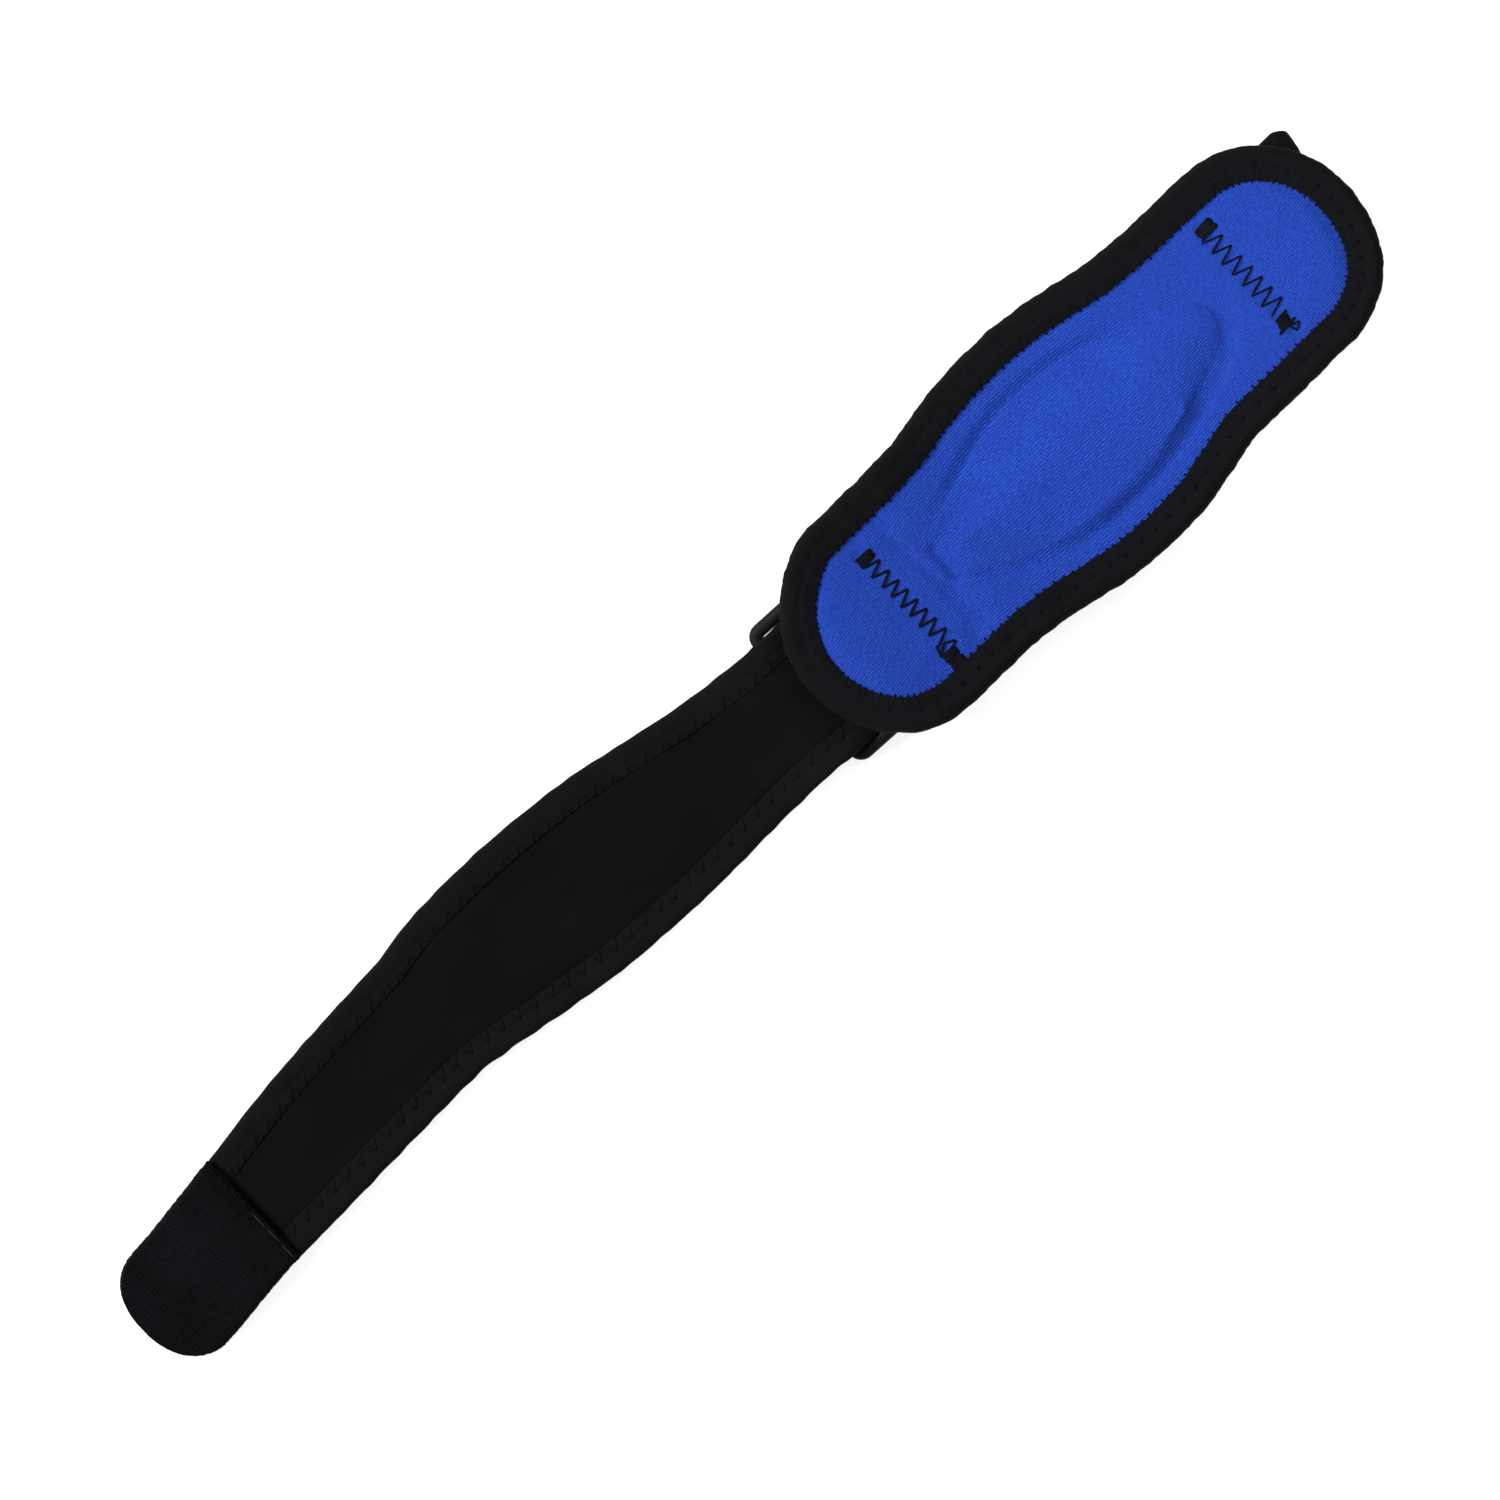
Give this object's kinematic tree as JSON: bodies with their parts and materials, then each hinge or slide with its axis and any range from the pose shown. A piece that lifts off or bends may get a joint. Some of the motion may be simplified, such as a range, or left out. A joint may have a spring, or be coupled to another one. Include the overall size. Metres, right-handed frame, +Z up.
{
  "type": "tennis elbow strap",
  "caption": "Forearm strap laid flat: padded almond-shaped insert under a knit face, folded strap with taped edges, plastic ring and rounded hook tab.",
  "frame": {"origin": "centre of the underside of the whole outline, on the surface that the strap lies on", "axes": "+X along the strap towards the pad's far end, +Y across it, +Z up out of the pad's knit face"},
  "size_m": [0.3658, 0.0616, 0.0177],
  "materials": {
    "knit": "bright blue stretch knit, matt with a soft sheen",
    "neoprene": "black loop-faced neoprene, matt",
    "tape": "black ribbed edge tape, matt",
    "webbing": "black woven webbing, matt",
    "gel": "soft translucent gel, hidden under the knit face",
    "ring_plastic": "black moulded plastic, satin",
    "hook_tape": "black hook tape, rough and matt"
  },
  "bodies": {
    "root": {"pad_backing": "neoprene", "gel_pad": "gel", "pad_lining": "knit", "pad_binding": "tape", "strap": "neoprene", "strap_binding_left": "tape", "strap_binding_right": "tape", "ring": "ring_plastic", "ring_loop": "webbing", "hook_tab": "hook_tape"}
  },
  "joints": []
}
